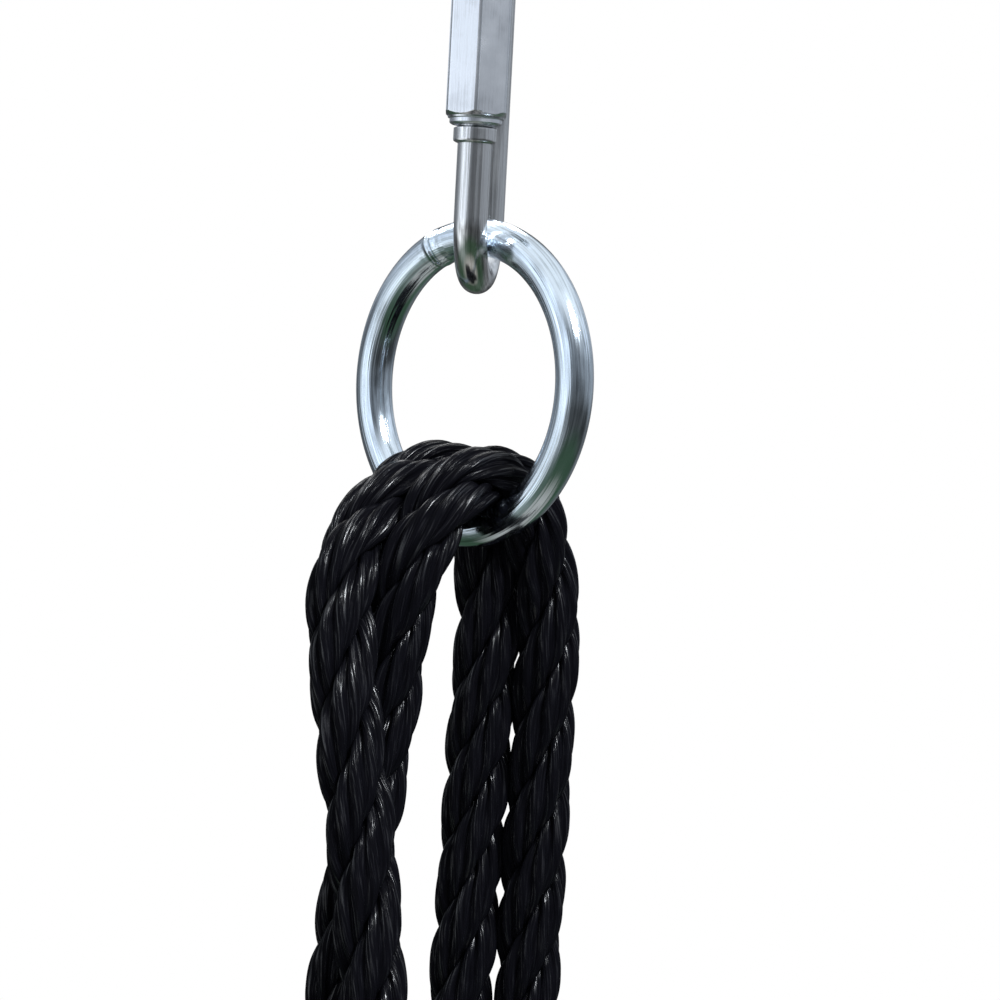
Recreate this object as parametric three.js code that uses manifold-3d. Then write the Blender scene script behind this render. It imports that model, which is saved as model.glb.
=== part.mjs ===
// A tire swing: a quick link, a welded ring, one laid rope wound twice through the ring and round the
// tire's section, the knot that joins the rope's ends, and the tire itself.
// Millimetres, +Z up. The origin is where the quick link bears on whatever holds the swing up.
// The tire lies in the XZ plane, so its axle runs along Y. The ring hangs turned about Z from it.
import * as THREE from "three";
import { mergeVertices } from "three/addons/utils/BufferGeometryUtils.js";
import Module from "manifold-3d";

const wasm = await Module();
wasm.setup();

// ---- driving dimensions ----
const GAP = 0.4; // left between pieces that touch

const LINK_WIRE_R = 4;
const LINK_LENGTH = 114; // outside, along Z
const LINK_LEG_X = 13; // from the link's middle to the centre of each leg
const LINK_TURN = THREE.MathUtils.degToRad(81.7); // the link's plane, turned about Z from the tire's
const LINK_SIDES = 16;
const SHOULDER_R = 5.1; // the collar that the sleeve is screwed down on
const SHOULDER_LENGTH = 3.8;
const SLEEVE_BOTTOM = 38.6; // above the link's outside bottom
const SLEEVE_LENGTH = 32;
const SLEEVE_FLATS = 14; // across flats
const SLEEVE_BORE_R = 4.45;
const STUB_LENGTH = 7.5; // lower threaded end, inside the sleeve
const GATE = 11; // the opening that the sleeve closes

const RING_R = 34.5; // to the middle of the wire
const RING_WIRE_R = 4.5;
const RING_ON_LINK = 9.5; // from the middle of the link's wire up to the middle of the ring's
const RING_TURN_DEG = -46; // the ring's plane, turned about Z from the tire's

const ROPE_R = 7.2; // mean radius of a 15 mm laid rope
const ROPE_SIDES = 10;
const LANE = 7.9; // half the spacing of the two turns at the ring
const CROWN = 20.4; // the turns' middles lie this far below the ring's centre
const ARCH_HALF = 24.1; // half the width of the bow that the stiff rope makes over the ring
const ARCH_SHIFT = -4.1; // and how far its middle lies in front of the ring's
const ARCH_RISE = 40;
const FRONT_TURN_DEG = 226; // the front pair changes places as it goes down
const FRONT_TURN_LENGTH = 92;
const BACK_TURN_DEG = 46;
const BACK_TURN_LENGTH = 30;

const TIRE_Z = -1340;
const TIRE_LANE = 15; // half the spacing of the two turns at the tire
const LEG_FOOT = { y: 96.5, z: -1092 }; // where a leg meets the tire's sidewall
const KNOT = { x: 17.5, z: -930, halfLength: 50, r: 21.5 };
const TAIL_LENGTH = 34;
const TAIL_OUT = 15; // from the leg's middle to the tail's
const CAP_LENGTH = 16;
const CAP_R = 8.2;

const linkTop = 2 * LINK_WIRE_R;
const linkBottom = linkTop - LINK_LENGTH;
const sleeveZ = linkBottom + SLEEVE_BOTTOM;
const ringTopZ = linkBottom + LINK_WIRE_R + RING_ON_LINK;
const ringZ = ringTopZ - RING_R;

// ---- materials ----
const zinc = new THREE.MeshStandardMaterial({ color: 0xb9c2cc, metalness: 1, roughness: 0.28 });
const zincSatin = new THREE.MeshStandardMaterial({ color: 0xc6ccd3, metalness: 1, roughness: 0.4 });
const rope = new THREE.MeshStandardMaterial({ color: 0x0c0c0e, metalness: 0, roughness: 0.45 });
const shrink = new THREE.MeshStandardMaterial({ color: 0x101012, metalness: 0, roughness: 0.5 });
const rubber = new THREE.MeshStandardMaterial({ color: 0x1b1b1c, metalness: 0, roughness: 0.85 });

const swing = new THREE.Group();

function add(name, geometry, material, parent = swing) {
  const mesh = new THREE.Mesh(geometry, material);
  mesh.name = name;
  parent.add(mesh);
  return mesh;
}

// ---- solids ----
function toSolid(geometry) {
  const bare = geometry.clone();
  bare.deleteAttribute("normal");
  bare.deleteAttribute("uv");
  const merged = mergeVertices(bare, 1e-3);
  return new wasm.Manifold(
    new wasm.Mesh({
      numProp: 3,
      vertProperties: merged.attributes.position.array,
      triVerts: new Uint32Array(merged.index.array),
    }),
  );
}

function toGeometry(solid) {
  const mesh = solid.getMesh();
  return new THREE.BufferGeometry()
    .setAttribute("position", new THREE.BufferAttribute(mesh.vertProperties, 3))
    .setIndex(new THREE.BufferAttribute(mesh.triVerts, 1));
}

// A cylinder along Z, from z up.
function rod(radius, length, z, sides) {
  return new THREE.CylinderGeometry(radius, radius, length, sides)
    .rotateX(Math.PI / 2)
    .translate(0, 0, z + length / 2);
}

function circle(radius, sides) {
  const corners = [];
  for (let i = 0; i < sides; i++) {
    const a = (2 * Math.PI * i) / sides;
    corners.push(new THREE.Vector2(radius * Math.cos(a), radius * Math.sin(a)));
  }
  return corners;
}

// A smooth curve whose extrusion has one section at each of its points, so bends can have more than legs.
class StationCurve extends THREE.CatmullRomCurve3 {
  getUtoTmapping(u) {
    return u;
  }
}

function tube(points, radius, sides) {
  return new THREE.ExtrudeGeometry(new THREE.Shape(circle(radius, sides)), {
    steps: points.length - 1,
    extrudePath: new StationCurve(points),
    curveSegments: 1,
  });
}

// ---- quick link ----
// The bent wire runs from the stub below the gate, round the bottom bow, up the plain leg, round the
// top bow and down to the gate's upper side. The sleeve is on the leg at -X of the link's own frame.
function linkWire() {
  const points = [];
  const bowZ = linkBottom + LINK_WIRE_R + LINK_LEG_X;
  const topBowZ = linkTop - LINK_WIRE_R - LINK_LEG_X;
  const stubTop = sleeveZ + STUB_LENGTH;
  const bowSteps = 12;
  points.push(new THREE.Vector3(-LINK_LEG_X, 0, stubTop));
  points.push(new THREE.Vector3(-LINK_LEG_X, 0, sleeveZ));
  for (let i = 0; i <= bowSteps; i++) {
    const a = Math.PI * (1 + i / bowSteps);
    points.push(new THREE.Vector3(LINK_LEG_X * Math.cos(a), 0, bowZ + LINK_LEG_X * Math.sin(a)));
  }
  points.push(new THREE.Vector3(LINK_LEG_X, 0, (bowZ + topBowZ) / 2));
  for (let i = 0; i <= bowSteps; i++) {
    const a = (Math.PI * i) / bowSteps;
    points.push(new THREE.Vector3(LINK_LEG_X * Math.cos(a), 0, topBowZ + LINK_LEG_X * Math.sin(a)));
  }
  points.push(new THREE.Vector3(-LINK_LEG_X, 0, stubTop + GATE));
  return tube(points, LINK_WIRE_R, LINK_SIDES);
}

function linkBody() {
  const shoulder = rod(SHOULDER_R, SHOULDER_LENGTH, sleeveZ - GAP - SHOULDER_LENGTH, 24);
  shoulder.translate(-LINK_LEG_X, 0, 0);
  return toGeometry(toSolid(linkWire()).add(toSolid(shoulder)));
}

// A hexagon bar, bored through, with both ends turned to a cone.
function linkSleeve() {
  const hexR = SLEEVE_FLATS / Math.sqrt(3);
  const chamfer = 1.6;
  const endR = SLEEVE_FLATS / 2 - 0.6;
  const half = SLEEVE_LENGTH / 2;
  const turned = new THREE.LatheGeometry(
    [
      new THREE.Vector2(0, -half),
      new THREE.Vector2(endR, -half),
      new THREE.Vector2(hexR + 0.2, -half + chamfer),
      new THREE.Vector2(hexR + 0.2, half - chamfer),
      new THREE.Vector2(endR, half),
      new THREE.Vector2(0, half),
    ],
    36,
  )
    .rotateX(Math.PI / 2)
    .translate(0, 0, half);
  const hexagon = rod(hexR, SLEEVE_LENGTH, 0, 6);
  const bore = rod(SLEEVE_BORE_R, SLEEVE_LENGTH + 4, -2, 24);
  return toGeometry(toSolid(hexagon).intersect(toSolid(turned)).subtract(toSolid(bore)));
}

const link = new THREE.Group();
link.rotation.z = LINK_TURN;
swing.add(link);
add("link_body", linkBody(), zinc, link);
const sleeve = add("link_sleeve", linkSleeve(), zincSatin, link);
sleeve.position.set(-LINK_LEG_X, 0, sleeveZ);
sleeve.rotation.z = THREE.MathUtils.degToRad(30) - LINK_TURN; // one of its edges faces -Y

// ---- ring ----
const ringTurn = THREE.MathUtils.degToRad(RING_TURN_DEG);
const ringTorus = new THREE.TorusGeometry(RING_R, RING_WIRE_R, 16, 56).rotateX(Math.PI / 2);
const ring = add("ring", ringTorus, zinc);
ring.rotation.z = ringTurn;
ring.position.z = ringZ;

// ---- rope ----
// Two turns lie side by side, a and b. Each height has a front pair (side -1) and a back pair (side +1).
// The vector from turn a to turn b starts along the ring and turns as the pair goes down: in front, where
// the winding crosses from one turn to the next, until the turns have changed places; behind, only until
// they lie along X.
const crownZ = ringZ - CROWN;
const archFoot = crownZ - ARCH_RISE;
const across = new THREE.Vector2(-Math.sin(ringTurn), Math.cos(ringTurn)); // square to the ring
const footBlend = (z) => Math.max(0, (archFoot - z) / (archFoot - LEG_FOOT.z));

function pairAngle(side, z) {
  const drop = crownZ - z;
  const turned =
    side < 0
      ? FRONT_TURN_DEG * (1 - Math.exp(-drop / FRONT_TURN_LENGTH))
      : BACK_TURN_DEG * (1 - Math.exp(-drop / BACK_TURN_LENGTH));
  return THREE.MathUtils.degToRad(RING_TURN_DEG + turned);
}

// A point of a turn, given the middle of its pair.
function turnPoint(turn, side, middle, z) {
  const down = Math.min(1, footBlend(z));
  const lane = (LANE + (TIRE_LANE - LANE) * down) * (turn === "a" ? -1 : 1);
  const a = pairAngle(side, z);
  return new THREE.Vector3(middle.x + lane * Math.cos(a), middle.y + lane * Math.sin(a), z);
}

// A pair hangs straight from the bow's foot to the tire's sidewall.
function legPoint(turn, side, z) {
  const top = across.clone().multiplyScalar(ARCH_SHIFT + side * ARCH_HALF);
  const middle = top.lerp(new THREE.Vector2(0, side * LEG_FOOT.y), footBlend(z));
  return turnPoint(turn, side, middle, z);
}

function arch(turn) {
  const points = [];
  const steps = 12;
  for (let i = 0; i <= steps; i++) {
    const a = (Math.PI * i) / steps;
    const out = ARCH_SHIFT * Math.min(1, 2 - 2 * Math.sin(a)) - ARCH_HALF * Math.cos(a);
    const z = crownZ - ARCH_RISE * (1 - Math.sin(a));
    points.push(turnPoint(turn, out < 0 ? -1 : 1, across.clone().multiplyScalar(out), z));
  }
  return points;
}

const FRONT_STATIONS = [-201, -214, -228, -243, -260, -285, -330, -420, -560, -700];
const BACK_STATIONS = [-201, -215, -235, -270, -330, -430, -560, -720, -880, -1020];

// The rope's way under the tire's section in its lane, from the front sidewall to the back one.
function cradle(x) {
  const half = [
    [LEG_FOOT.y, LEG_FOOT.z],
    [96.5, -1106],
    [93.9, -1122],
    [86.6, -1137],
    [76, -1152.6],
    [63.4, -1168.6],
    [52, -1173.4],
    [26, -1173.4],
    [0, -1173.4],
  ];
  const front = half.map(([y, z]) => new THREE.Vector3(x, -y, z));
  const back = half.slice(0, -1).reverse();
  return [...front, ...back.map(([y, z]) => new THREE.Vector3(x, y, z))];
}

// The knot's own frame leans with the leg that it is tied in.
const knotLean = Math.atan((LEG_FOOT.y - ARCH_HALF * across.y) / (archFoot - LEG_FOOT.z));
const knotMiddle = new THREE.Vector3(KNOT.x, legPoint("a", -1, KNOT.z).y, KNOT.z);
function knotPoint(z) {
  return new THREE.Vector3(0, 0, z).applyEuler(new THREE.Euler(-knotLean, 0, 0)).add(knotMiddle);
}

// From the top of the knot, twice round ring and tire, and back to the bottom of the knot. The winding
// goes from its first turn, a, to its second, b, in the front pair, which is why that pair is twisted.
function ropeRoute() {
  const up = (turn, stations) => [...stations].reverse().map((z) => legPoint(turn, -1, z));
  const down = (turn) => BACK_STATIONS.map((z) => legPoint(turn, 1, z));
  const knotEnd = KNOT.halfLength + GAP;
  return [
    knotPoint(knotEnd),
    knotPoint(knotEnd + 24),
    ...up("a", FRONT_STATIONS),
    ...arch("a"),
    ...down("a"),
    ...cradle(-TIRE_LANE).reverse(),
    ...up("b", [...FRONT_STATIONS, -840, -980]),
    ...arch("b"),
    ...down("b"),
    ...cradle(TIRE_LANE).reverse(),
    legPoint("a", -1, -1050),
    knotPoint(-knotEnd - 22),
    knotPoint(-knotEnd),
  ];
}

add("rope", tube(ropeRoute(), ROPE_R, ROPE_SIDES), rope);

// ---- knot, its two tails and their caps ----
// Two barrels of turns, one on each rope end, drawn up against each other. Each end leaves its barrel
// beside the leg as a tail.
const TAILS = [
  { way: 1, x: 3, y: -TAIL_OUT },
  { way: -1, x: TAIL_OUT, y: -3 },
];

function knotBarrels() {
  const { halfLength, r } = KNOT;
  const neck = 14;
  const shoulder = r - 3;
  const waist = r - 1.5;
  const profile = [new THREE.Vector2(0, -halfLength), new THREE.Vector2(neck, -halfLength)];
  for (const [at, radius] of [[-0.86, shoulder], [-0.62, r], [-0.3, r], [0, waist]]) {
    profile.push(new THREE.Vector2(radius, at * halfLength));
  }
  for (const [at, radius] of [[0.3, r], [0.62, r], [0.86, shoulder], [1, neck]]) {
    profile.push(new THREE.Vector2(radius, at * halfLength));
  }
  profile.push(new THREE.Vector2(0, halfLength));
  return new THREE.LatheGeometry(profile, 16).rotateX(Math.PI / 2);
}

function knotWithTails() {
  const buried = 12;
  return toGeometry(
    TAILS.reduce((all, { way, x, y }) => {
      const length = TAIL_LENGTH + buried;
      const start = KNOT.halfLength - buried;
      const tail = rod(ROPE_R, length, way > 0 ? start : -start - length, ROPE_SIDES).translate(x, y, 0);
      return all.add(toSolid(tail));
    }, toSolid(knotBarrels())),
  );
}

const knot = new THREE.Group();
knot.position.copy(knotMiddle);
knot.rotation.x = -knotLean;
swing.add(knot);
add("rope_knot", knotWithTails(), rope, knot);
for (const [i, { way, x, y }] of TAILS.entries()) {
  const start = KNOT.halfLength + TAIL_LENGTH + GAP;
  const cap = rod(CAP_R, CAP_LENGTH, way > 0 ? start : -start - CAP_LENGTH, 14).translate(x, y, 0);
  add(`rope_end_${i + 1}`, cap, shrink, knot);
}

// ---- tire ----
// Half of the section, as [radius, distance from the middle plane]: tread, shoulder, sidewall and bead
// outside, then the liner inside. The other half mirrors it.
const TIRE_HALF = [
  [292, 0],
  [291.4, 32],
  [289.6, 52],
  [286, 65],
  [278, 74],
  [266, 80.5],
  [250, 86.4],
  [236, 88.5],
  [222, 86.5],
  [208, 80],
  [197, 71.5],
  [188, 63.5],
  [181, 60],
  [177, 56],
  [176, 48],
  [184, 45],
  [193, 51],
  [205, 64],
  [220, 76],
  [236, 80],
  [252, 77.5],
  [266, 68],
  [274.5, 52],
  [278, 30],
  [279, 0],
];
const outer = TIRE_HALF.map(([r, y]) => new THREE.Vector2(r, y));
const mirrored = TIRE_HALF.slice(1, -1).reverse().map(([r, y]) => new THREE.Vector2(r, -y));
const tire = add("tire", new THREE.LatheGeometry([...outer, ...mirrored, outer[0]], 56), rubber);
tire.position.z = TIRE_Z;

export default swing;
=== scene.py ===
"""Looks for the tire swing: laid rope, zinc-plated quick link and ring, knot and car tire."""
import math

import bpy
import numpy as np
from mathutils import Matrix, Vector


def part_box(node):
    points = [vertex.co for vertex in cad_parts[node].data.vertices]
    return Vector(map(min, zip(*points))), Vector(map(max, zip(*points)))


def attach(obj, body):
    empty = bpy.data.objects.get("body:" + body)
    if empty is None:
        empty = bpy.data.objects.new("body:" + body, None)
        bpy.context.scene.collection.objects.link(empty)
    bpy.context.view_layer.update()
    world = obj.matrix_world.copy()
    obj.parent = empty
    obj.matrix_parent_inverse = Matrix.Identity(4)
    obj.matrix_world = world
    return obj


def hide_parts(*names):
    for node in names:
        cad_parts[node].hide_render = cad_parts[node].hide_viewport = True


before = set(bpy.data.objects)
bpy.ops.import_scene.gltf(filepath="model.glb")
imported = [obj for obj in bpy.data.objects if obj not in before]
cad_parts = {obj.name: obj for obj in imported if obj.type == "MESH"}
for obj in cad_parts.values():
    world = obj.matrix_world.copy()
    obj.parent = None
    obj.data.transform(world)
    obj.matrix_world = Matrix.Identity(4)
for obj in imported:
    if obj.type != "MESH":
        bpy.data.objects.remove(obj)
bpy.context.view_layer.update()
MM = 0.001

# ---- sizes and places, from the frame (mm) ----
ring_low, ring_high = (np.array(corner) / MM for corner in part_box("ring"))
link_low, link_high = (np.array(corner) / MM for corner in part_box("link_body"))
sleeve_low, sleeve_high = (np.array(corner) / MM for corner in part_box("link_sleeve"))
tire_low, tire_high = (np.array(corner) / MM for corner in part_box("tire"))
RING_Z = (ring_low[2] + ring_high[2]) / 2
TIRE_Z = (tire_low[2] + tire_high[2]) / 2
RING_TURN = math.radians(-46)
LINK_TURN = math.radians(81.7)
RING_R = 34.5  # to the wire's middle
RING_WIRE_R = 4.5
LINK_WIRE_R = 4.0
PLAY = 0.065  # off both wires' radii, so that the ring clears the link's bow at the limit of its swing
LINK_LEG = 13.0  # from the link's middle to each leg's, and the radius of its bows
SLEEVE_LENGTH = sleeve_high[2] - sleeve_low[2]

# ---- camera ----
CAMERA_DISTANCE = 710.7  # from the ring's middle, along the view (mm)
CAMERA_OFFSET = (-6.9, 27.7)  # of the ring's middle from the view's axis: right, up (mm)
CAMERA_ELEVATION = math.radians(1.93)
CAMERA_ROLL = math.radians(3.0)
LENS = 108.0


def make_camera():
    back = Vector((0, -math.cos(CAMERA_ELEVATION), math.sin(CAMERA_ELEVATION)))
    level = Vector((1, 0, 0))
    upright = back.cross(level)
    right = math.cos(CAMERA_ROLL) * level + math.sin(CAMERA_ROLL) * upright
    up = -math.sin(CAMERA_ROLL) * level + math.cos(CAMERA_ROLL) * upright
    data = bpy.data.cameras.new("camera")
    data.lens = LENS
    data.sensor_width = 36
    data.clip_start = 0.01
    camera = bpy.data.objects.new("camera", data)
    bpy.context.scene.collection.objects.link(camera)
    target = Vector((0, 0, RING_Z))
    place = target - CAMERA_OFFSET[0] * right - CAMERA_OFFSET[1] * up + CAMERA_DISTANCE * back
    turn = Matrix((right, up, back)).transposed().to_4x4()
    camera.matrix_world = Matrix.Translation(place * MM) @ turn
    bpy.context.scene.camera = camera


# ---- mesh helpers ----
ROUND_POINTS = 48  # points round a wire or a cap
SHORTEST_STEP = 0.2  # between rings of points (mm)


def new_object(name, mesh, material, body):
    thing = bpy.data.objects.new(name, mesh)
    bpy.context.scene.collection.objects.link(thing)
    mesh.materials.append(material)
    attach(thing, body)
    return thing


def grid_faces(rings, around, start, loop=False, caps=True):
    """Quads between rings of vertices, each ring closed on itself. Caps are fans round two more vertices."""
    i = np.arange(rings if loop else rings - 1)[:, None]
    j = np.arange(around)[None, :]
    a = start + i * around + j
    b = start + i * around + (j + 1) % around
    c = start + ((i + 1) % rings) * around + (j + 1) % around
    d = start + ((i + 1) % rings) * around + j
    faces = np.stack([a, b, c, d], axis=-1).reshape(-1, 4).tolist()
    if caps and not loop:
        first, last = start + rings * around, start + rings * around + 1
        end = start + (rings - 1) * around
        for k in range(around):
            n = (k + 1) % around
            faces.append([first, start + n, start + k])
            faces.append([last, end + k, end + n])
    return faces


def sweep_mesh(name, tubes, loop=False, sharp=None, uv=None):
    """One mesh from several tubes, each an array (rings, around, 3) in mm."""
    points, faces, start = [], [], 0
    for tube in tubes:
        rings, around, _ = tube.shape
        points.append(tube.reshape(-1, 3))
        faces += grid_faces(rings, around, start, loop)
        start += rings * around
        if not loop:
            points.append(np.stack([tube[0].mean(0), tube[-1].mean(0)]))
            start += 2
    mesh = bpy.data.meshes.new(name)
    mesh.from_pydata((np.concatenate(points) * MM).tolist(), [], faces)
    mesh.shade_smooth()
    if sharp:
        mesh.set_sharp_from_angle(angle=math.radians(sharp))
    if uv is not None:
        add_uv(mesh, tubes, uv, loop)
    return mesh


def add_uv(mesh, tubes, uv, loop):
    """uv gives each tube's U by column and V by ring, with one more of each at a seam."""
    layer = mesh.uv_layers.new(name="along")
    values = []
    for tube, (u, v) in zip(tubes, uv):
        rings, around, _ = tube.shape
        spans = rings if loop else rings - 1
        i = np.arange(spans)[:, None] * np.ones((1, around), int)
        j = np.ones((spans, 1), int) * np.arange(around)[None, :]
        us = np.stack([u[j], u[j + 1], u[j + 1], u[j]], axis=-1)
        vs = np.stack([v[i], v[i], v[i + 1], v[i + 1]], axis=-1)
        values.append(np.stack([us, vs], axis=-1).reshape(-1, 2))
        if not loop:
            values.append(np.zeros((around * 6, 2)))
    layer.data.foreach_set("uv", np.concatenate(values).ravel())


def unit(v):
    return v / np.linalg.norm(v, axis=-1, keepdims=True)


def frames_along(path):
    """Tangent and two normals that don't twist, at each point of a path."""
    tangent = unit(np.gradient(path, axis=0))
    normal = np.zeros_like(path)
    guess = np.array([0.0, 1.0, 0.0]) if abs(tangent[0][1]) < 0.8 else np.array([1.0, 0.0, 0.0])
    last = unit(guess - tangent[0] * guess.dot(tangent[0]))
    for i, t in enumerate(tangent):
        last = last - t * last.dot(t)
        last /= np.linalg.norm(last)
        normal[i] = last
    return tangent, normal, np.cross(tangent, normal)


def spline(points, per_leg=24):
    """A Catmull-Rom curve through the points, with centripetal spacing."""
    points = np.array(points, float)
    ends = [2 * points[0] - points[1], *points, 2 * points[-1] - points[-2]]
    out = []
    for p0, p1, p2, p3 in zip(ends, ends[1:], ends[2:], ends[3:]):
        t0, t1 = 0.0, np.linalg.norm(p1 - p0) ** 0.5
        t2 = t1 + np.linalg.norm(p2 - p1) ** 0.5
        t3 = t2 + np.linalg.norm(p3 - p2) ** 0.5
        t = np.linspace(t1, t2, per_leg, endpoint=False)[:, None]
        a1 = (t1 - t) / (t1 - t0) * p0 + (t - t0) / (t1 - t0) * p1
        a2 = (t2 - t) / (t2 - t1) * p1 + (t - t1) / (t2 - t1) * p2
        a3 = (t3 - t) / (t3 - t2) * p2 + (t - t2) / (t3 - t2) * p3
        b1 = (t2 - t) / (t2 - t0) * a1 + (t - t0) / (t2 - t0) * a2
        b2 = (t3 - t) / (t3 - t1) * a2 + (t - t1) / (t3 - t1) * a3
        out.append((t2 - t) / (t2 - t1) * b1 + (t - t1) / (t2 - t1) * b2)
    out.append(points[-1:])
    return np.concatenate(out)


def even_steps(path, step):
    """The path again, with points a step apart. step is a function of a point's height."""
    length = np.concatenate([[0], np.cumsum(np.linalg.norm(np.diff(path, axis=0), axis=1))])
    at, marks = 0.0, [0.0]
    while at < length[-1]:
        at += step(np.interp(at, length, path[:, 2]))
        marks.append(min(at, length[-1]))
    if marks[-1] - marks[-2] < SHORTEST_STEP:
        marks.pop(-2)
    marks = np.array(marks)
    return np.stack([np.interp(marks, length, path[:, k]) for k in range(3)], axis=1), marks


# ---- the rope's route (mm), the same as the CAD tube's but for two turns that nest closer ----
LANE = 7.35  # half the distance between the two turns where they cross the ring
CROWN = 20.4  # from the ring's middle down to the top of the rope's middle line
ARCH_HALF = 24.1  # half the width of the arch over the ring
ARCH_SHIFT = -4.1  # of the arch's middle, across the ring
ARCH_RISE = 40  # from the arch's feet to its top
FRONT_TURN = (226, 92)  # degrees that the turns twist round each other, two thirds of it in this drop
BACK_TURN = (46, 30)
TIRE_LANE = 15  # half the distance between the two turns at the tire
LEG_FOOT = (96.5, -1092)  # y and z where a leg meets the tire
KNOT_AT = (17.5, -930)  # x and z of the knot's middle
KNOT_HALF = 50
CROWN_PRESSED = 1.5  # the arch's top lies this much lower, as the rope is pressed on the ring

crown_z = RING_Z - CROWN
arch_foot = crown_z - ARCH_RISE
across = np.array([-math.sin(RING_TURN), math.cos(RING_TURN)])


def foot_blend(z):
    return max(0.0, (arch_foot - z) / (arch_foot - LEG_FOOT[1]))


def turn_point(turn, side, middle, z):
    drop = crown_z - z
    degrees, length = FRONT_TURN if side < 0 else BACK_TURN
    angle = RING_TURN + math.radians(degrees * (1 - math.exp(-drop / length)))
    lane = (LANE + (TIRE_LANE - LANE) * min(1.0, foot_blend(z))) * (-1 if turn == "a" else 1)
    return np.array([middle[0] + lane * math.cos(angle), middle[1] + lane * math.sin(angle), z])


def leg_point(turn, side, z):
    top = across * (ARCH_SHIFT + side * ARCH_HALF)
    foot = np.array([0, side * LEG_FOOT[0]])
    return turn_point(turn, side, top + (foot - top) * foot_blend(z), z)


def arch(turn, steps=12):
    points = []
    for a in np.linspace(0, math.pi, steps + 1):
        out = ARCH_SHIFT * min(1.0, 2 - 2 * math.sin(a)) - ARCH_HALF * math.cos(a)
        z = crown_z - ARCH_RISE * (1 - math.sin(a))
        point = turn_point(turn, -1 if out < 0 else 1, across * out, z)
        point[2] -= CROWN_PRESSED * max(0.0, math.sin(a)) ** 6
        points.append(point)
    return points


FRONT_STATIONS = [-201, -214, -228, -243, -260, -285, -330, -420, -560, -700]
BACK_STATIONS = [-201, -215, -235, -270, -330, -430, -560, -720, -880, -1020]
CRADLE = [
    (96.5, -1092),
    (96.5, -1106),
    (93.9, -1122),
    (86.6, -1137),
    (76, -1152.6),
    (63.4, -1168.6),
    (52, -1173.4),
    (26, -1173.4),
    (0, -1173.4),
]


def cradle(x):
    """From the back sidewall under the tire's section to the front one."""
    back = [np.array([x, y, z]) for y, z in CRADLE]
    front = [np.array([x, -y, z]) for y, z in CRADLE[:-1]]
    return back + front[::-1]


knot_lean = math.atan((LEG_FOOT[0] - ARCH_HALF * across[1]) / (arch_foot - LEG_FOOT[1]))
knot_middle = np.array([KNOT_AT[0], leg_point("a", -1, KNOT_AT[1])[1], KNOT_AT[1]])


def knot_point(x, y, z):
    """From the knot's own frame, which leans with the leg that it is tied in."""
    c, s = math.cos(-knot_lean), math.sin(-knot_lean)
    return np.array([x, y * c - z * s, y * s + z * c]) + knot_middle


def rope_route():
    def up(turn, stations):
        return [leg_point(turn, -1, z) for z in stations[::-1]]

    def down(turn):
        return [leg_point(turn, 1, z) for z in BACK_STATIONS]

    return [
        knot_point(0, 0, 10),
        knot_point(0, 0, KNOT_HALF),
        knot_point(0, 0, KNOT_HALF + 24.4),
        *up("a", FRONT_STATIONS),
        *arch("a"),
        *down("a"),
        *cradle(-TIRE_LANE),
        *up("b", [*FRONT_STATIONS, -840, -980]),
        *arch("b"),
        *down("b"),
        *cradle(TIRE_LANE),
        leg_point("a", -1, -1050),
        knot_point(0, 0, -KNOT_HALF - 22.4),
        knot_point(0, 0, -KNOT_HALF),
        knot_point(0, 0, -10),
    ]


# ---- laid rope ----
LAY = 58.0  # one turn of the strands
STRAND_MIDDLE = 4.1  # from the rope's middle
STRAND_THICK = 4.15  # half, outwards
STRAND_WIDE = 5.2  # half, round the rope
YARNS = 6
YARN_COLUMNS = 8
YARN_GROOVE = 1.75  # depth between two yarns
YARN_TURN = 0.19  # radians per mm, against the lay
YARN_SWELL = 0.5  # how much a yarn's thickness varies along it
YARN_WAVES = (0.03, 0.16)  # slowest and fastest, in radians per mm
YARN_WIDTH = 2 * math.pi * 4.2 / YARNS  # on the strand's mean surface
COLUMNS = YARNS * YARN_COLUMNS
STRANDS = 3
STRAND_SECTOR = math.radians(60)  # half of a strand's share of the rope's section
STRAND_GAP = 0.03
CORE = 0.05  # the least distance from the rope's middle
WAVES_SUMMED = 4
FINE_STEP, PLAIN_STEP, KNOT_STEP = 1.2, 3.0, 1.6  # between a strand's rings
FINE_ABOVE = -290  # the height above which the rope gets fine steps


def waves(s, count, low, high, seed):
    """A slow random wave along a length, for each of several yarns."""
    own = np.random.default_rng(seed)
    total = np.zeros((len(s), count))
    for _ in range(WAVES_SUMMED):
        total += np.sin(s[:, None] * own.uniform(low, high, count) + own.uniform(0, 6.3, count))
    return total / WAVES_SUMMED


def strand(path, s, phase, seed):
    """One strand of a laid rope as rings of points. Its columns follow the yarns."""
    _, normal, binormal = frames_along(path)
    around = phase + 2 * math.pi * s / LAY
    out = np.cos(around)[:, None] * normal + np.sin(around)[:, None] * binormal
    side = -np.sin(around)[:, None] * normal + np.cos(around)[:, None] * binormal
    column = np.arange(COLUMNS)
    theta = 2 * math.pi * column[None, :] / COLUMNS - YARN_TURN * s[:, None]
    edge = np.abs(2 * (column % YARN_COLUMNS) / YARN_COLUMNS - 1)
    swell = np.repeat(waves(s, YARNS, *YARN_WAVES, seed), YARN_COLUMNS, axis=1)
    height = -YARN_GROOVE * edge[None, :] ** 2 + YARN_SWELL * swell * (1 - edge[None, :] ** 2)
    x = STRAND_MIDDLE + (STRAND_THICK + height) * np.cos(theta)
    y = (STRAND_WIDE + height) * np.sin(theta)
    x = np.maximum(x, CORE)
    limit = math.tan(STRAND_SECTOR) * x - STRAND_GAP
    y = np.clip(y, -limit, limit)
    return path[:, None, :] + x[..., None] * out[:, None, :] + y[..., None] * side[:, None, :]


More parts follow.
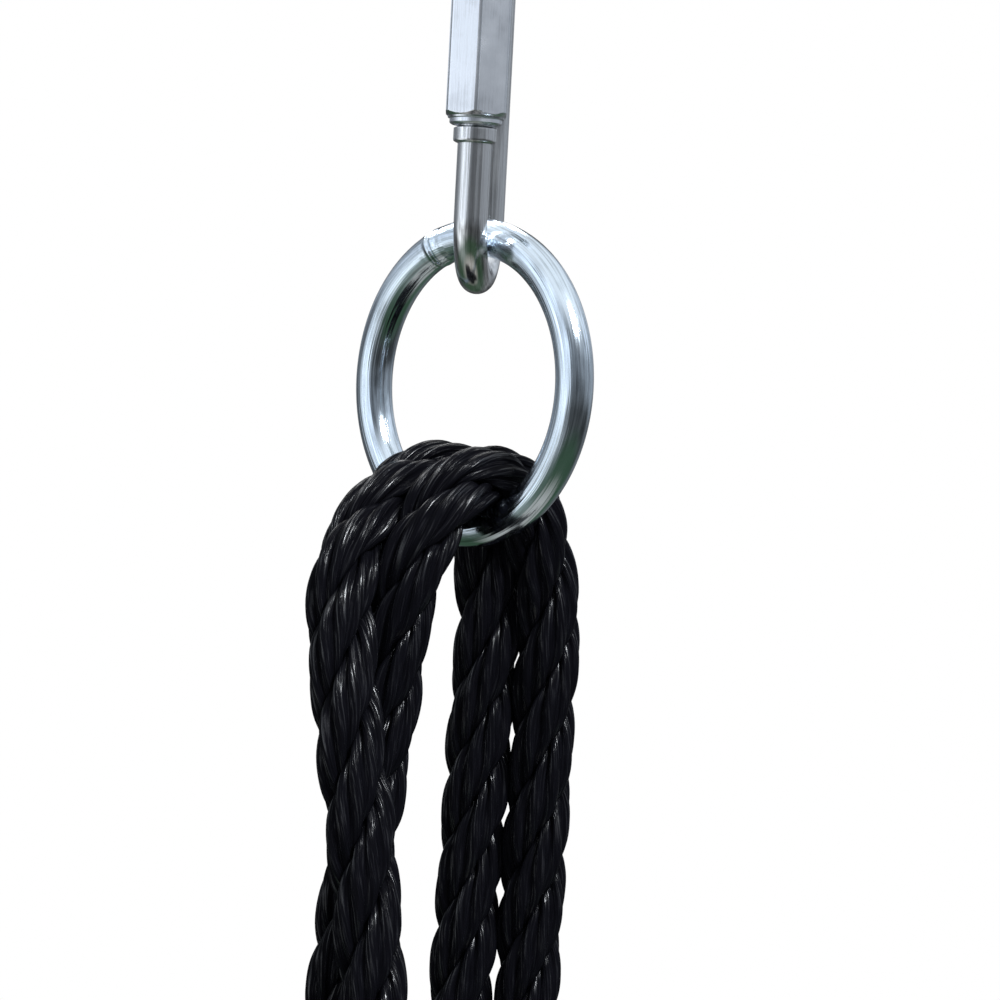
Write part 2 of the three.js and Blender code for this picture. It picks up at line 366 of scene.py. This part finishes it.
def rope_mesh(name, points, step, seed, phase=0.0):
    """Three strands along a smooth curve. The UV is in mm, far apart from one strand to the next."""
    path, s = even_steps(spline(points), step)
    strands = [strand(path, s, phase + k * 2 * math.pi / STRANDS, seed + k) for k in range(STRANDS)]
    across_mm = YARN_WIDTH * np.arange(COLUMNS + 1) / YARN_COLUMNS
    uv = [(across_mm + 10 * YARN_WIDTH * k, s + 300 * k + 13 * seed) for k in range(STRANDS)]
    return sweep_mesh(name, strands, uv=uv), path, s


# ---- materials ----
class Nodes:
    """Short calls to add nodes to the tree of a material or a world."""

    def __init__(self, owner):
        owner.use_nodes = True
        self.owner = owner
        self.tree = owner.node_tree
        self.shader = self.tree.nodes.get("Principled BSDF")

    def add(self, kind, **settings):
        node = self.tree.nodes.new(kind)
        for key, value in settings.items():
            if key in node.inputs:
                node.inputs[key].default_value = value
            else:
                setattr(node, key, value)
        return node

    def link(self, a, b):
        self.tree.links.new(a, b)

    def stretched(self, source, scale):
        mapping = self.add("ShaderNodeMapping")
        mapping.inputs["Scale"].default_value = scale
        self.link(source, mapping.inputs["Vector"])
        return mapping.outputs["Vector"]

    def noise(self, vector, scale, detail=3.0, roughness=0.5):
        node = self.add("ShaderNodeTexNoise", Scale=scale, Detail=detail, Roughness=roughness)
        self.link(vector, node.inputs["Vector"])
        return node.outputs["Fac"]

    def ramp(self, value, stops):
        node = self.add("ShaderNodeValToRGB")
        elements = node.color_ramp.elements
        while len(elements) < len(stops):
            elements.new(0.5)
        for element, (at, colour) in zip(elements, stops):
            element.position = at
            element.color = (*colour, 1) if len(colour) == 3 else colour
        self.link(value, node.inputs["Fac"])
        return node.outputs["Color"]

    def math(self, operation, *values):
        node = self.add("ShaderNodeMath", operation=operation)
        for socket, value in zip(node.inputs, values):
            if hasattr(value, "node"):
                self.link(value, socket)
            else:
                socket.default_value = value
        return node.outputs["Value"]

    def range(self, value, low, high, from_low=0.3, from_high=0.7):
        node = self.add("ShaderNodeMapRange")
        node.inputs["From Min"].default_value = from_low
        node.inputs["From Max"].default_value = from_high
        node.inputs["To Min"].default_value = low
        node.inputs["To Max"].default_value = high
        self.link(value, node.inputs["Value"])
        return node.outputs["Result"]

    def bump(self, height, distance, strength=1.0, below=None):
        node = self.add("ShaderNodeBump", Distance=distance * MM, Strength=strength)
        self.link(height, node.inputs["Height"])
        if below is not None:
            self.link(below, node.inputs["Normal"])
        return node.outputs["Normal"]

    def set(self, **values):
        for key, value in values.items():
            socket = self.shader.inputs[key.replace("_", " ")]
            if hasattr(value, "node"):
                self.link(value, socket)
            else:
                socket.default_value = value

    def place(self, output="Object"):
        return self.add("ShaderNodeTexCoord").outputs[output]


def rope_material():
    """Black split film: dull and dark, with crisp glints on the fibres that stand up, and painted shade in
    the grooves between the yarns.
    """
    n = Nodes(bpy.data.materials.new("rope_black"))
    uv = n.place("UV")
    fibres = n.noise(n.stretched(uv, (2.6, 0.11, 1)), 1.0, 2.0, 0.55)
    hairs = n.noise(n.stretched(uv, (7.5, 0.2, 1)), 1.0, 2.0, 0.5)
    patches = n.noise(n.place(), 120.0, 2.0)
    split = n.add("ShaderNodeSeparateXYZ")
    n.link(uv, split.inputs[0])
    # painted shade: a mask that is 1 on each yarn's crown and falls to 0 in the grooves between yarns,
    # standing in for their shading
    across = n.math("MULTIPLY", split.outputs["X"], math.pi / YARN_WIDTH)
    painted_groove_shade = n.math("SQRT", n.math("ABSOLUTE", n.math("SINE", across)))
    normal = n.bump(fibres, 0.5, 0.6)
    normal = n.bump(hairs, 0.2, 0.5, normal)
    blacks = [(0.3, (0.0016, 0.0016, 0.0022)), (0.6, (0.003, 0.003, 0.0044)), (0.8, (0.008, 0.008, 0.0105))]
    n.set(
        Base_Color=n.ramp(fibres, blacks),
        Roughness=n.range(patches, 0.17, 0.3),
        # the specular is multiplied by the painted groove shade, so the grooves between yarns reflect nothing
        Specular_IOR_Level=n.math("MULTIPLY", n.range(fibres, 0.02, 0.7, 0.52, 0.69), painted_groove_shade),
        Normal=normal,
    )
    return n.owner


def zinc_material(name, tint, depth, roughness, streaks, wear, lines=(1.2, 0.025, 1)):
    """Bright zinc. Its UV runs round the piece and along it, in mm, and the drawing lines run along.

    lines scales the UV for them, depth (mm) is their height, and streaks is their share, against
    that of soft clouds, in the dull marks, whose colour is the tint times wear.
    """
    n = Nodes(bpy.data.materials.new(name))
    place, uv = n.place(), n.place("UV")
    clouds = n.noise(place, 60.0, 4.0, 0.6)
    grain = n.noise(place, 1500.0, 2.0)
    drawn = n.noise(n.stretched(uv, lines), 1.0, 2.0, 0.5)
    fine = n.noise(n.stretched(uv, tuple(3 * c for c in lines)), 1.0, 2.0, 0.5)
    normal = n.bump(drawn, depth, 1.0)
    normal = n.bump(fine, depth * 0.18, 1.0, normal)
    normal = n.bump(clouds, 0.12, 0.08, normal)
    normal = n.bump(grain, 0.008, 0.5, normal)
    marks = n.math("MULTIPLY_ADD", n.math("SUBTRACT", drawn, clouds), streaks, clouds)
    dull = tuple(c * wear for c in tint)
    n.set(
        Base_Color=n.ramp(marks, [(0.38, dull), (0.48, tint)]),
        Metallic=1.0,
        Roughness=n.range(clouds, *roughness),
        Normal=normal,
    )
    return n.owner


RIB_BANDS = [(253.5, 4.5), (212.5, 3)]  # middle radius and half width (mm)
RIBS_ROUND = 300
SIDEWALL_FROM = 60  # distance from the middle plane (mm)


def rubber_material():
    """Worn rubber, dusty in patches, with fine radial ribs moulded in two bands of the sidewall."""
    n = Nodes(bpy.data.materials.new("tire_rubber"))
    place = n.place()
    dust = n.noise(place, 9.0, 6.0, 0.65)
    grain = n.noise(place, 900.0, 3.0)
    scuffs = n.noise(n.stretched(place, (60, 240, 60)), 1.0, 4.0, 0.7)
    split = n.add("ShaderNodeSeparateXYZ")
    n.link(place, split.inputs[0])
    height = n.math("SUBTRACT", split.outputs["Z"], TIRE_Z * MM)
    angle = n.math("ARCTAN2", split.outputs["X"], height)
    radius = n.math("SQRT", n.math("ADD", n.math("POWER", split.outputs["X"], 2), n.math("POWER", height, 2)))
    ribs = n.math("SINE", n.math("MULTIPLY", angle, RIBS_ROUND))
    bands = [
        n.math("LESS_THAN", n.math("ABSOLUTE", n.math("SUBTRACT", radius, middle * MM)), half * MM)
        for middle, half in RIB_BANDS
    ]
    side = n.math("GREATER_THAN", n.math("ABSOLUTE", split.outputs["Y"]), SIDEWALL_FROM * MM)
    moulded = n.math("MULTIPLY", n.math("MULTIPLY", ribs, n.math("ADD", *bands)), side)
    normal = n.bump(grain, 0.15, 0.5)
    normal = n.bump(scuffs, 0.2, 0.3, normal)
    normal = n.bump(moulded, 0.5, 1.0, normal)
    greys = [(0.3, (0.010, 0.010, 0.0105)), (0.6, (0.017, 0.0168, 0.0165)), (0.8, (0.032, 0.030, 0.028))]
    n.set(
        Base_Color=n.ramp(dust, greys),
        Roughness=n.range(scuffs, 0.45, 0.75),
        Specular_IOR_Level=0.4,
        Normal=normal,
    )
    return n.owner


def shrink_material():
    n = Nodes(bpy.data.materials.new("rope_whipping"))
    place = n.place()
    wrinkles = n.noise(n.stretched(place, (260, 260, 1400)), 1.0, 3.0)
    n.set(
        Base_Color=(0.014, 0.014, 0.015, 1),
        Roughness=n.range(wrinkles, 0.35, 0.55),
        Normal=n.bump(wrinkles, 0.2, 0.4),
    )
    return n.owner


# ---- pieces ----
def make_rope(material):
    def step(z):
        return FINE_STEP if z > FINE_ABOVE else PLAIN_STEP

    mesh, path, s = rope_mesh("rope_strands", rope_route(), step, seed=11, phase=0.4)
    rope = new_object("rope_strands", mesh, material, "rope")
    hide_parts("rope")
    return rope, path, s


TAILS = [(3.0, -15.0), (15.0, -3.0)]  # where the rope's upper and lower ends leave the knot
COIL_R = 13.4
COIL_HALF = 42.0  # from the knot's middle to the middle of its last turn
COIL_TURNS = 6  # less the angle between the tails
COIL_WAIST = 1.5
COIL_WAIST_LENGTH = 7
COIL_POINTS = 112
LEAVING = 0.9  # the last of the turn, in radians, in which the rope bends away along the leg
TAIL_BEND = [  # radius, angle short of the tail's own, and height, from the last turn out to the tip
    (COIL_R + 0.3, LEAVING * 0.5, COIL_HALF + 2.5),
    (15.1, LEAVING * 0.15, COIL_HALF + 10),
    (15.3, 0.0, KNOT_HALF + 10),
    (15.3, 0.0, KNOT_HALF + 22),
    (15.3, 0.0, KNOT_HALF + 38),
]
CAP_FROM = KNOT_HALF + 34.4
CAP_LENGTH = 16.0
CAP_R = 7.9
CAP_WAVE = 0.35


def make_knot(material, cap_material):
    """A barrel knot: close turns round the leg with a waist in the middle, and a tail at each end."""
    top, low = (math.atan2(y, x) for x, y in TAILS)
    sweep = 2 * math.pi * COIL_TURNS + top - low
    points = []
    for t in np.linspace(LEAVING / sweep, 1 - LEAVING / sweep, COIL_POINTS):
        z = COIL_HALF * (2 * t - 1)
        r = COIL_R - COIL_WAIST * math.exp(-((z / COIL_WAIST_LENGTH) ** 2))
        points.append((r * math.cos(low + sweep * t), r * math.sin(low + sweep * t), z))
    for way, angle in ((-1, low), (1, top)):
        bend = []
        for r, short, z in TAIL_BEND:
            a = angle - way * short
            bend.append((r * math.cos(a), r * math.sin(a), way * z))
        points = bend[::-1] + points if way < 0 else points + bend
    mesh, _, _ = rope_mesh("knot_coil", [knot_point(*p) for p in points], lambda z: KNOT_STEP, seed=31)
    coil = new_object("knot_coil", mesh, material, "rope")
    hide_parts("rope_knot")
    for i, ((x, y), way) in enumerate(zip(TAILS, (1, -1))):
        cap = make_cap(f"rope_cap_{i + 1}", x, y, way, cap_material)
        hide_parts(f"rope_end_{i + 1}")


def make_cap(name, x, y, way, material):
    """A shrunk sleeve over a rope end, with the strands showing through it a little."""
    mouth = [(0, CAP_R - 0.9), (0.25, CAP_R - 0.2), (1.2, CAP_R)]
    tip = [(3, CAP_R), (1.2, CAP_R - 0.7), (0.4, CAP_R - 2.2), (0, CAP_R - 5)]
    a = np.linspace(0, 2 * math.pi, ROUND_POINTS, endpoint=False)
    rings = []
    for z, radius in mouth + [(CAP_LENGTH - back, r) for back, r in tip]:
        wavy = radius - CAP_WAVE * (0.5 + 0.5 * np.cos(STRANDS * (a - 2 * math.pi * z / LAY)))
        height = way * (CAP_FROM + z)
        rings.append([knot_point(x + w * math.cos(t), y + w * math.sin(t), height) for w, t in zip(wavy, a)])
    tube = np.array(rings)
    if way < 0:
        tube = tube[:, ::-1]
    return new_object(name, sweep_mesh(name, [tube], sharp=50), material, "rope")


WELD = math.radians(90 + 21)  # round the ring
WELD_REACH = 4.5  # half the length that gets close rings of vertices
WELD_RIDGE, WELD_RIDGE_WIDTH = 0.28, 1.5
WELD_NOTCH, WELD_NOTCH_WIDTH = 0.4, 0.5
WELD_RIPPLE, WELD_RIPPLE_WIDTH = 0.04, 3.2
WELD_RINGS, RING_RINGS = 61, 260  # of points, close to the weld and round the rest


def make_ring(material):
    """Round wire bent to a ring, with the ridge and notch of its butt weld."""
    near = WELD + np.linspace(-WELD_REACH, WELD_REACH, WELD_RINGS) / RING_R
    reach = WELD_REACH / RING_R
    far = np.linspace(WELD + reach, WELD + 2 * math.pi - reach, RING_RINGS)[1:-1]
    t = np.concatenate([near, far])
    off = ((t - WELD + math.pi) % (2 * math.pi) - math.pi) * RING_R
    a = np.linspace(0, 2 * math.pi, ROUND_POINTS, endpoint=False)
    skew = off[:, None] + 0.5 * np.sin(a)[None, :] + 0.25 * np.sin(3 * a + 1)[None, :]
    ridge = WELD_RIDGE * np.exp(-((skew / WELD_RIDGE_WIDTH) ** 2))
    notch = WELD_NOTCH * np.exp(-((skew / WELD_NOTCH_WIDTH) ** 2))
    ripple = WELD_RIPPLE * np.sin(skew * 2.6 + np.cos(2 * a)[None, :])
    ripple *= np.exp(-((skew / WELD_RIPPLE_WIDTH) ** 2))
    r = RING_WIRE_R - PLAY + (ridge - notch) + ripple
    radial = RING_R + r * np.cos(a)[None, :]
    side = r * np.sin(a)[None, :]
    x, z = radial * np.cos(t)[:, None], radial * np.sin(t)[:, None] + RING_Z
    c, s = math.cos(RING_TURN), math.sin(RING_TURN)
    tube = np.stack([x * c - side * s, x * s + side * c, z], axis=-1)
    along = np.append(t, near[0] + 2 * math.pi) * RING_R
    uv = [(np.linspace(0, 2 * math.pi * RING_WIRE_R, ROUND_POINTS + 1), along)]
    mesh = sweep_mesh("ring_wire", [tube], loop=True, uv=uv)
    ring = new_object("ring_wire", mesh, material, "ring")
    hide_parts("ring")


THREAD_PITCH = 1.25
THREAD_DEPTH = 0.32
SHOULDER = (5.1, 3.8)  # radius and length of the collar under the sleeve
SHOULDER_FACE, SHOULDER_BACK = 0.4, 0.6  # length over which it rises under the sleeve and falls to the wire
STUB = 7.5
GATE = 11.0
GATE_THREAD = 32  # length of the thread above the gate
WIRE_END = 0.6  # taken off the radius at the wire's cut ends
LEG_STEP = 0.25  # between the rings of points on the threaded leg
BOW_RINGS, LEG_RINGS = 72, 30  # rings of points on a bow and on the plain leg
LINK_ROUND = 40  # points in each of them


def link_frame(points):
    """From the link's own frame, with its plane in XZ, to the swing's."""
    c, s = math.cos(LINK_TURN), math.sin(LINK_TURN)
    x, y, z = points[..., 0], points[..., 1], points[..., 2]
    return np.stack([x * c - y * s, x * s + y * c, z], axis=-1)


def make_link(material):
    """The bent wire, from the stub inside the sleeve round both bows to the gate's upper side."""
    low = link_low[2] + LINK_WIRE_R + LINK_LEG
    high = link_high[2] - LINK_WIRE_R - LINK_LEG
    sleeve_z = sleeve_low[2]
    stub_top = sleeve_z + STUB
    gate_top = stub_top + GATE
    path = [(-LINK_LEG, 0, z) for z in np.arange(stub_top, low, -LEG_STEP)]
    path += [
        (LINK_LEG * math.cos(a), 0, low + LINK_LEG * math.sin(a))
        for a in np.linspace(math.pi, 2 * math.pi, BOW_RINGS)
    ]
    path += [(LINK_LEG, 0, z) for z in np.linspace(low, high, LEG_RINGS)[1:-1]]
    path += [
        (LINK_LEG * math.cos(a), 0, high + LINK_LEG * math.sin(a))
        for a in np.linspace(0, math.pi, BOW_RINGS)
    ]
    path += [(-LINK_LEG, 0, z) for z in np.arange(high, gate_top, -LEG_STEP)] + [(-LINK_LEG, 0, gate_top)]
    path = np.array(path)
    _, normal, binormal = frames_along(path)
    a = np.linspace(0, 2 * math.pi, LINK_ROUND, endpoint=False)
    z, leg = path[:, 2], path[:, 0] < -LINK_LEG + 0.01
    upper = (z >= gate_top) & (z < gate_top + GATE_THREAD)
    threaded = leg & (((z > sleeve_z + 0.5) & (z < stub_top)) | upper)
    thread = (z[:, None] / THREAD_PITCH - a[None, :] / (2 * math.pi)) % 1
    depth = THREAD_DEPTH * (1 - np.abs(2 * thread - 1)) * threaded[:, None]
    top = sleeve_z - SHOULDER_FACE
    inside = np.clip((top - z) / SHOULDER_FACE, 0, 1)
    inside = inside * np.clip((z - (top - SHOULDER[1])) / SHOULDER_BACK, 0, 1)
    collar = (SHOULDER[0] - LINK_WIRE_R) * (inside * (2 - inside)) * leg
    radius = LINK_WIRE_R - PLAY + collar[:, None] - depth
    radius[[0, -1]] -= WIRE_END
    tube = path[:, None, :] + radius[..., None] * (
        np.cos(a)[None, :, None] * normal[:, None, :] + np.sin(a)[None, :, None] * binormal[:, None, :]
    )
    along = np.concatenate([[0], np.cumsum(np.linalg.norm(np.diff(path, axis=0), axis=1))])
    uv = [(np.linspace(0, 2 * math.pi * LINK_WIRE_R, len(a) + 1), along)]
    mesh = sweep_mesh("link_wire", [link_frame(tube)], sharp=40, uv=uv)
    link = new_object("link_wire", mesh, material, "link")
    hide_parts("link_body")


HALF_FLATS = 7.0
CORNER_ROUND = 0.35  # taken off the hexagon's corners
CORNER_REACH = 0.06  # radians each side of a corner in which the points lie closer
CORNER_RISE = 0.08  # of the rounding's radius over that reach, until it meets the flats
FLAT_POINTS, CORNER_POINTS = 120, 7  # round the whole hexagon, and at each corner
SLEEVE_BORE = 4.35  # radius, at the thread's crests
SLEEVE_THREAD = 0.25
SLEEVE_END = [(0, 5.5), (0.25, 5.95), (0.5, 6.1), (1.35, 6.1), (1.45, 6.3), (1.55, 6.5), (1.95, 6.62)]
SLEEVE_CONE = 1.15  # length of the cone that follows the turned end
CONE_STATIONS = np.linspace(0.08, 1, 12)
SLEEVE_MOUTH = (0.5, 0.6)  # the bore's chamfer: more radius, over a length
THREAD_STEP = 0.3  # between the rings of points in the bore


def hexagon_outline():
    """Angles round the sleeve, closer together at its corners, and its radius at each."""
    sixth = math.pi / 3
    even = np.linspace(0, 2 * math.pi, FLAT_POINTS, endpoint=False)
    near = np.arange(6)[:, None] * sixth + np.linspace(-CORNER_REACH, CORNER_REACH, CORNER_POINTS)
    a = np.unique(np.round(np.concatenate([even, near.ravel() % (2 * math.pi)]), 5))
    off = np.abs((a + sixth / 2) % sixth - sixth / 2)  # from the nearest corner
    hexagon = HALF_FLATS / np.cos(sixth / 2 - off)
    corner = HALF_FLATS / math.cos(sixth / 2) - CORNER_ROUND
    rounded = corner + CORNER_RISE * (off / CORNER_REACH) ** 2
    return a, np.minimum(hexagon, rounded)


def make_sleeve(material):
    """A drawn hexagon bar, bored and tapped, with both ends turned to a cone."""
    a, outline = hexagon_outline()
    full = HALF_FLATS / math.cos(math.pi / 6)
    end_z, end_r = SLEEVE_END[-1]
    cone = [(end_z + SLEEVE_CONE * t, end_r + (full - end_r) * t) for t in CONE_STATIONS]
    rings = [(z, np.minimum(outline, limit)) for z, limit in SLEEVE_END + cone]
    outer = rings + [(SLEEVE_LENGTH - z, r) for z, r in rings[::-1]]
    wider, chamfer = SLEEVE_MOUTH
    mouth, bore = np.full_like(a, SLEEVE_BORE + wider), np.full_like(a, SLEEVE_BORE)
    inner = [(SLEEVE_LENGTH, mouth), (SLEEVE_LENGTH - chamfer, bore)]
    for z in np.arange(SLEEVE_LENGTH - 0.9, 0.8, -THREAD_STEP):
        thread = (z / THREAD_PITCH - a / (2 * math.pi)) % 1
        inner.append((z, SLEEVE_BORE + SLEEVE_THREAD * np.abs(2 * thread - 1)))
    inner += [(chamfer, bore), (0, mouth)]
    turned = a + math.radians(30)

    def ring_at(z, r):
        return np.stack([r * np.cos(turned), r * np.sin(turned), np.full_like(a, z)], axis=-1)

    centre = link_frame(np.array([-LINK_LEG, 0.0, 0.0]))
    tube = np.array([ring_at(z, r) for z, r in outer + inner])
    tube += np.array([centre[0], centre[1], sleeve_low[2]])
    heights = np.array([z for z, _ in outer + inner] + [0.0])
    uv = [(np.append(a, 2 * math.pi) * HALF_FLATS, heights)]
    mesh = sweep_mesh("sleeve_nut", [tube], loop=True, sharp=22, uv=uv)
    sleeve = new_object("sleeve_nut", mesh, material, "sleeve")
    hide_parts("link_sleeve")


# ---- tire ----
TIRE_HALF = [
    (292, 0), (291.4, 32), (289.6, 52), (286, 65), (278, 74), (266, 80.5), (250, 86.4), (236, 88.5),
    (222, 86.5), (208, 80), (197, 71.5), (188, 63.5), (181, 60), (177, 56), (176, 48), (184, 45),
    (193, 51), (205, 64), (220, 76), (236, 80), (252, 77.5), (266, 68), (274.5, 52), (278, 30), (279, 0),
]  # radius and distance from the middle plane (mm), over the tread, down the sidewall and back inside
BEAD_POINT = 14  # the first point of TIRE_HALF that lies inside the casing, less one
PROFILE_STEPS = 16
SIDE_RIBS = [  # radius, width and height of the moulded rings on the sidewall (mm)
    (261, 1.4, 1.2), (246, 1.2, 1.2), (218, 1.0, 0.9), (206, 1.3, 1.0), (193, 2.0, 1.6),
]
PITCHES = 68  # repeats of the tread's pattern round the tire
PITCH_STOPS = [0, 0.02, 0.155, 0.175, 0.34, 0.49, 0.51, 0.57, 0.59, 0.76, 0.92, 0.94]
TREAD_SLANT = 0.0016  # radians per mm from the middle plane
GROOVES = [(14.5, 4.2), (41.0, 3.8)]  # middle and half width
GROOVE_DEPTH = 5.5
TREAD_EDGE = 68.0
TREAD_STEP = 3.0
TREAD_POINTS = 120  # of the profile, from the middle plane to past the tread's edge
TREAD_RADIUS = 270  # the outside below this is sidewall (mm)
TREAD_CUTS = [  # from and to (mm from the middle plane), from and to (share of a pitch), depth (mm)
    (45, 100, -1, 0.17, 4.675),
    (18.8, 30, 0.5, 0.58, 3.3),
    (-1, 10.2, 0.93, 2, 2.2),
]
CUT_EDGES = [10.2, 18.8, 30, 45]  # where the cuts begin or end across the tread


def tread_cut(y, t):
    """Depth of the tread's pattern at a distance from the middle plane and a place in the pitch, 0 to 1."""
    y = abs(y)
    for middle, half in GROOVES:
        if abs(y - middle) < half:
            return GROOVE_DEPTH
    for inner, outer, first, last, depth in TREAD_CUTS:
        if inner < y < outer and first < t < last:
            return depth
    return 0.0


def make_tire(material):
    half = spline([(r, y, 0) for r, y in TIRE_HALF], per_leg=PROFILE_STEPS)[:, :2]
    bead = PROFILE_STEPS * BEAD_POINT + 1
    outside, inside = half[:bead], half[bead::2]
    edges = {round(m + e + d, 2) for m, h in GROOVES for e in (-h, h) for d in (-0.35, 0.35)}
    edges |= {round(e + d, 2) for e in CUT_EDGES for d in (-0.2, 0.2)}
    tread_y = sorted({*np.arange(0, TREAD_EDGE, TREAD_STEP), *edges})
    profile = half[:TREAD_POINTS]
    tread = [(np.interp(y, profile[:, 1], profile[:, 0]), y) for y in tread_y]
    rest = [p for p in outside if p[1] > TREAD_EDGE or p[0] < TREAD_RADIUS]
    wall = []
    for r, y in rest:
        raised = 0.0
        for at, wide, high in SIDE_RIBS:
            raised += high * math.exp(-(((r - at) / wide) ** 2))
        wall.append((r, y + raised))
    line = [*tread, *wall, *map(tuple, inside)]
    whole = line + [(r, -y) for r, y in line[::-1][1:-1]]
    t = np.array(PITCH_STOPS * PITCHES).reshape(PITCHES, -1)
    theta = ((np.arange(PITCHES)[:, None] + t) * 2 * math.pi / PITCHES).ravel()
    rings = []
    for k, (r, y) in enumerate(whole):
        in_tread = k < len(tread) or k > len(whole) - len(tread)
        slant = math.copysign(min(abs(y), TREAD_EDGE), y) * TREAD_SLANT
        cut = np.array([tread_cut(y, f) for f in PITCH_STOPS] * PITCHES) if in_tread else 0.0
        radius = r - cut
        a = theta + slant
        rings.append(np.stack([radius * np.sin(a), np.full_like(a, y), TIRE_Z + radius * np.cos(a)], axis=-1))
    tube = np.array(rings)
    mesh = sweep_mesh("tire_casing", [tube], loop=True, sharp=35)
    tire = new_object("tire_casing", mesh, material, "tire")
    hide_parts("tire")


# ---- studio (m) ----
FLOOR_R = 4.0
FLOOR_FADE = (1.6, 3.8)  # distances from the middle
FLOOR_BELOW = 0.02  # under the tire
FLOOR_POINTS = 64


def make_floor():
    """A pale disc under the tire that fades out at its edge."""
    z = tire_low[2] * MM - FLOOR_BELOW
    mesh = bpy.data.meshes.new("floor")
    a = np.linspace(0, 2 * math.pi, FLOOR_POINTS, endpoint=False)
    edge = [(FLOOR_R * math.cos(t), FLOOR_R * math.sin(t), z) for t in a]
    mesh.from_pydata(edge, [], [list(range(FLOOR_POINTS))])
    floor = bpy.data.objects.new("floor", mesh)
    bpy.context.scene.collection.objects.link(floor)
    n = Nodes(bpy.data.materials.new("floor"))
    away = n.add("ShaderNodeVectorMath", operation="LENGTH")
    flat = n.add("ShaderNodeVectorMath", operation="MULTIPLY")
    flat.inputs[1].default_value = (1, 1, 0)
    n.link(n.place(), flat.inputs[0])
    n.link(flat.outputs["Vector"], away.inputs[0])
    fade = n.range(away.outputs["Value"], 1.0, 0.0, *FLOOR_FADE)
    n.set(Base_Color=(0.86, 0.86, 0.86, 1), Roughness=0.8, Alpha=fade)
    mesh.materials.append(n.owner)
    floor.visible_glossy = False


def area_light(name, place, target, size, power, colour=(1, 1, 1)):
    data = bpy.data.lights.new(name, "AREA")
    data.shape = "RECTANGLE"
    data.size, data.size_y = size
    data.energy = power
    data.color = colour
    light = bpy.data.objects.new(name, data)
    light.location = place
    light.rotation_euler = (Vector(target) - Vector(place)).to_track_quat("-Z", "Y").to_euler()
    bpy.context.scene.collection.objects.link(light)
    return light


# What the metal mirrors, all round: behind the object, its left, the camera's side, its right, behind again.
SKY = (0.88, 0.92, 0.95)
GRASS = (0.035, 0.075, 0.04)
PAVING = (0.42, 0.41, 0.38)
ROUND_LEVEL = [
    (0.0, 0.04), (0.04, 0.08), (0.07, 0.40), (0.13, 0.24), (0.21, 0.55), (0.30, 1.15), (0.36, 1.0),
    (0.47, 0.20), (0.52, 0.10), (0.57, 0.34), (0.62, 0.16), (0.67, 0.30), (0.78, 0.62), (0.88, 0.5),
    (0.94, 0.45), (0.965, 0.08), (1.0, 0.04),
]
ROUND_LOW = [
    (0.0, 0.06), (0.12, 0.05), (0.20, 0.12), (0.27, 0.85), (0.34, 0.80), (0.40, 0.25),
    (0.48, 0.05), (0.70, 0.06), (0.82, 0.04), (0.92, 0.18), (1.0, 0.06),
]


def make_world():
    """White to the camera. To everything else, a bright sky, dark ground and patchy sides."""
    n = Nodes(bpy.data.worlds.new("studio"))
    n.tree.nodes.clear()
    bpy.context.scene.world = n.owner
    way = n.place("Generated")
    split = n.add("ShaderNodeSeparateXYZ")
    n.link(way, split.inputs[0])
    turned = n.math("ARCTAN2", split.outputs["X"], n.math("MULTIPLY", split.outputs["Y"], -1))
    azimuth = n.range(turned, 0.0, 1.0, -math.pi, math.pi)
    patches = n.range(n.noise(n.stretched(way, (1, 1, 0.6)), 4.0, 5.0, 0.6), 0.2, 1.85, 0.34, 0.66)

    def ring_of(stops, tint):
        bands = n.ramp(azimuth, [(at, tuple(c * grey for c in tint)) for at, grey in stops])
        patchy = n.add("ShaderNodeVectorMath", operation="SCALE")
        n.link(bands, patchy.inputs[0])
        n.link(patches, patchy.inputs["Scale"])
        return patchy.outputs["Vector"]

    def mix(factor, a, b):
        node = n.add("ShaderNodeMix", data_type="RGBA")
        n.link(factor, node.inputs["Factor"])
        for key, value in (("A", a), ("B", b)):
            if hasattr(value, "node"):
                n.link(value, node.inputs[key])
            else:
                node.inputs[key].default_value = (*value, 1)
        return node.outputs["Result"]

    height = split.outputs["Z"]
    level = ring_of(ROUND_LEVEL, (0.92, 1.0, 1.10))
    low = ring_of(ROUND_LOW, (0.95, 1.0, 1.03))
    low = mix(n.range(height, 0.8, 0.0, -0.6, -0.36), low, GRASS)
    sides = mix(n.range(height, 0.0, 1.0, -0.2, 0.25), low, level)
    around = mix(n.range(height, 0.0, 1.0, 0.42, 0.75), sides, SKY)
    around = mix(n.range(height, 1.0, 0.0, -0.95, -0.8), around, PAVING)
    rays = n.add("ShaderNodeLightPath")
    seen = mix(rays.outputs["Is Camera Ray"], around, (1.0, 1.0, 1.0))
    shader = n.add("ShaderNodeBackground")
    n.link(seen, shader.inputs["Color"])
    n.link(shader.outputs["Background"], n.add("ShaderNodeOutputWorld").inputs["Surface"])


make_camera()
rope_black = rope_material()
rope, rope_path, rope_s = make_rope(rope_black)
make_knot(rope_black, shrink_material())
make_ring(zinc_material("ring_zinc", (0.78, 0.88, 0.98), 0.14, (0.08, 0.17), streaks=0.75, wear=0.62))
make_link(zinc_material("link_zinc", (0.84, 0.85, 0.87), 0.08, (0.12, 0.21), streaks=0.85, wear=0.75))
satin = {"roughness": (0.2, 0.3), "streaks": 0.3, "wear": 0.85, "lines": (2.2, 0.05, 1)}
make_sleeve(zinc_material("sleeve_zinc", (0.88, 0.91, 0.97), 0.012, **satin))
make_tire(rubber_material())
make_floor()
make_world()
area_light("key", (0.77, -0.92, 0.9), (0, 0, -0.2), (0.5, 0.3), 52, (0.92, 0.96, 1.0))
area_light("rear", (-0.5, 1.2, 1.1), (0, 0, -0.2), (1.6, 0.8), 16)
area_light("low", (0.3, -2.6, -0.3), (0, 0, -1.2), (2.0, 1.2), 24).visible_glossy = False
bpy.context.scene.view_settings.view_transform = "Standard"
